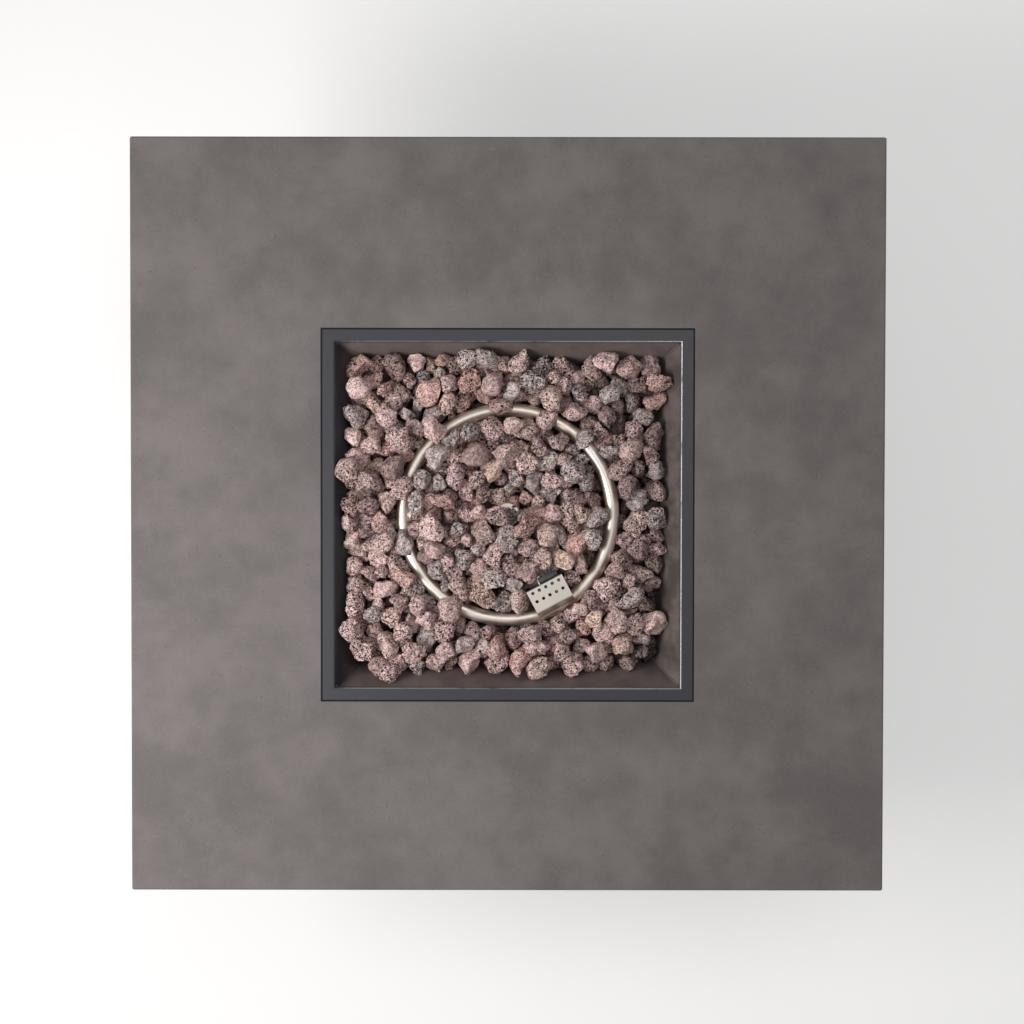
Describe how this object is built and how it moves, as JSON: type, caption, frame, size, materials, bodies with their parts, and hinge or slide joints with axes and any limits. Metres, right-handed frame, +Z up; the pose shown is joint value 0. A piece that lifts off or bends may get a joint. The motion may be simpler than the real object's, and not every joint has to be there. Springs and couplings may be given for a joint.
{
  "type": "fire table",
  "caption": "Square gas fire table with a cast top, a drop-in burner pan, a ring burner in lava rock, and a panelled base with a door.",
  "frame": {"origin": "on the floor under the middle of the table", "axes": "+Z up, -Y towards the side with the controls, +X to the right of a person facing the controls"},
  "size_m": [1.016, 1.016, 0.61],
  "materials": {
    "cast_top": "matt cast composite, softly mottled",
    "cast_panel": "matt cast composite, softly mottled",
    "coated_pan": "gunmetal powder coat, dusty inside",
    "stainless": "satin brushed",
    "galvanised": "zinc plated",
    "frame_steel": "black powder coat",
    "pipe_steel": "bare tube",
    "brass": "machined",
    "copper": "drawn tube",
    "ceramic": "glazed white",
    "black_plastic": "fine moulded texture",
    "lead_rubber": "silicone sleeve",
    "lava_rock": "porous tumbled lava rock"
  },
  "bodies": {
    "table": {"top_slab": "cast_top", "side_panel_left": "cast_panel", "side_panel_right": "cast_panel", "front_panel": "cast_panel", "burner_pan": "coated_pan", "burner_ring": "stainless", "burner_crossbar": "stainless", "burner_hub": "stainless", "pilot_shield": "stainless", "control_plate": "stainless", "pilot_bracket": "galvanised", "pan_bracket_front": "galvanised", "pan_bracket_right": "galvanised", "pan_bracket_back": "galvanised", "pan_bracket_left": "galvanised", "heat_shield": "galvanised", "air_mixer": "galvanised", "bottom_shelf": "galvanised", "cylinder_ring": "galvanised", "igniter_battery": "galvanised", "foot_nut_front_left": "galvanised", "foot_nut_front_right": "galvanised", "foot_nut_back_left": "galvanised", "foot_nut_back_right": "galvanised", "lower_hinge_fixed_leaf": "galvanised", "lower_hinge_pin": "galvanised", "upper_hinge_fixed_leaf": "galvanised", "upper_hinge_pin": "galvanised", "top_frame": "frame_steel", "corner_post_front_left": "frame_steel", "corner_post_front_right": "frame_steel", "corner_post_back_left": "frame_steel", "corner_post_back_right": "frame_steel", "gas_pipe": "pipe_steel", "inlet_nipple": "brass", "burner_locknut": "brass", "gas_elbow": "brass", "gas_jet": "brass", "gas_valve": "brass", "hose_inlet": "brass", "sensor_capillary": "copper", "flame_sensor": "copper", "electrode_insulator": "ceramic", "igniter_body": "black_plastic", "igniter_nut": "black_plastic", "magnetic_catch": "black_plastic", "igniter_lead": "lead_rubber", "lava_rock_bed": "lava_rock"},
    "door": {"access_door": "cast_panel", "door_knob": "stainless", "strike_plate": "galvanised", "lower_hinge_door_leaf": "galvanised", "upper_hinge_door_leaf": "galvanised"},
    "stem": {"valve_stem": "galvanised"},
    "knob": {"gas_knob": "black_plastic"},
    "button": {"igniter_button": "black_plastic"},
    "foot_front_left": {"levelling_foot_front_left": "black_plastic"},
    "foot_front_right": {"levelling_foot_front_right": "black_plastic"},
    "foot_back_left": {"levelling_foot_back_left": "black_plastic"},
    "foot_back_right": {"levelling_foot_back_right": "black_plastic"}
  },
  "joints": [
    {"name": "door_swing", "type": "hinge", "parent": "table", "child": "door", "pos_m": [-0.3388, 0.36, 0.29], "axis": [0, 0, 1], "range_deg": [0, 110]},
    {"name": "knob_turn", "type": "hinge", "parent": "table", "child": "stem", "pos_m": [-0.031, -0.36, 0.43], "axis": [0, -1, 0], "range_deg": [0, 180]},
    {"name": "knob_push", "type": "slide", "parent": "stem", "child": "knob", "axis": [0, 1, 0], "range_m": [0, 0.004], "stiffness_N_per_m": 300},
    {"name": "igniter_press", "type": "slide", "parent": "table", "child": "button", "axis": [0, 1, 0], "range_m": [0, 0.004], "stiffness_N_per_m": 400},
    {"name": "level_front_left", "type": "slide", "parent": "table", "child": "foot_front_left", "axis": [0, 0, -1], "range_m": [0, 0.012]},
    {"name": "level_front_right", "type": "slide", "parent": "table", "child": "foot_front_right", "axis": [0, 0, -1], "range_m": [0, 0.012]},
    {"name": "level_back_left", "type": "slide", "parent": "table", "child": "foot_back_left", "axis": [0, 0, -1], "range_m": [0, 0.012]},
    {"name": "level_back_right", "type": "slide", "parent": "table", "child": "foot_back_right", "axis": [0, 0, -1], "range_m": [0, 0.012]}
  ]
}
